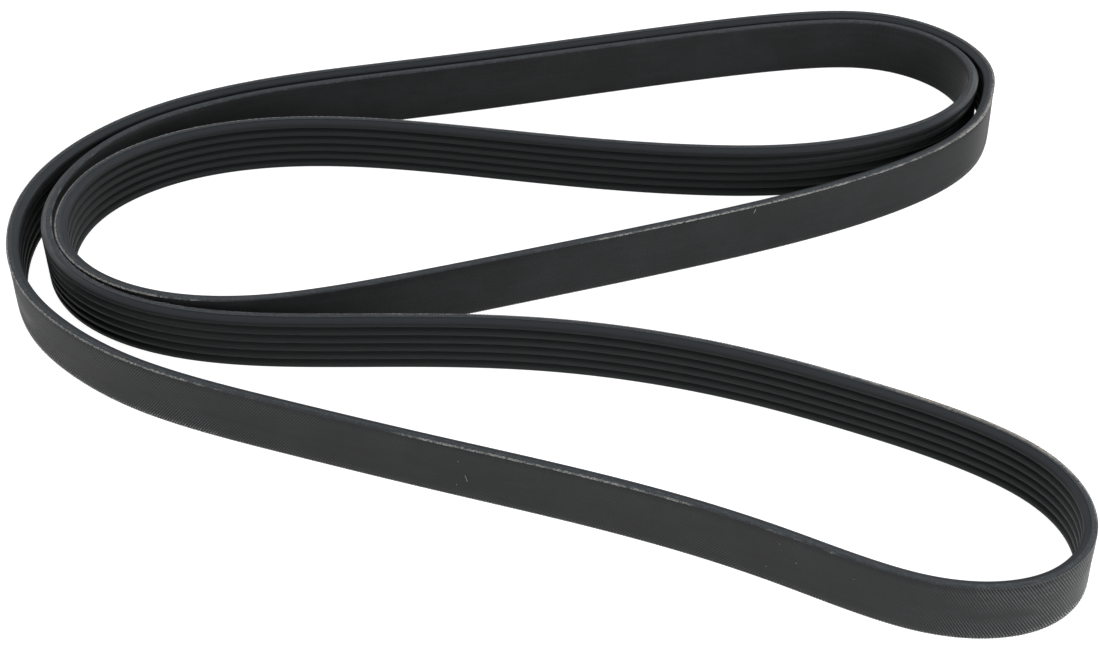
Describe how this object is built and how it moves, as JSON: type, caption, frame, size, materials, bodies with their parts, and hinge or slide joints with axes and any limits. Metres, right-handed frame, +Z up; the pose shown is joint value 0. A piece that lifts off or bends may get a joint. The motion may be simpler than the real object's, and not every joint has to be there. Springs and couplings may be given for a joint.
{
  "type": "serpentine belt",
  "caption": "Endless flat drive belt with lengthwise V ribs on its inner face, standing on its edge in a loose folded lay; turns engine accessory pulleys.",
  "frame": {"origin": "on the ground under the middle of the lay's bounding box", "axes": "+X along the longest way of the lay, +Y away from the long front loop, +Z up across the band's width"},
  "size_m": [0.3678, 0.3198, 0.0218],
  "materials": {
    "rubber": "matt dark grey moulded rubber, cut edges paler with frayed cord fibres"
  },
  "bodies": {
    "root": {"belt": "rubber"}
  },
  "joints": []
}
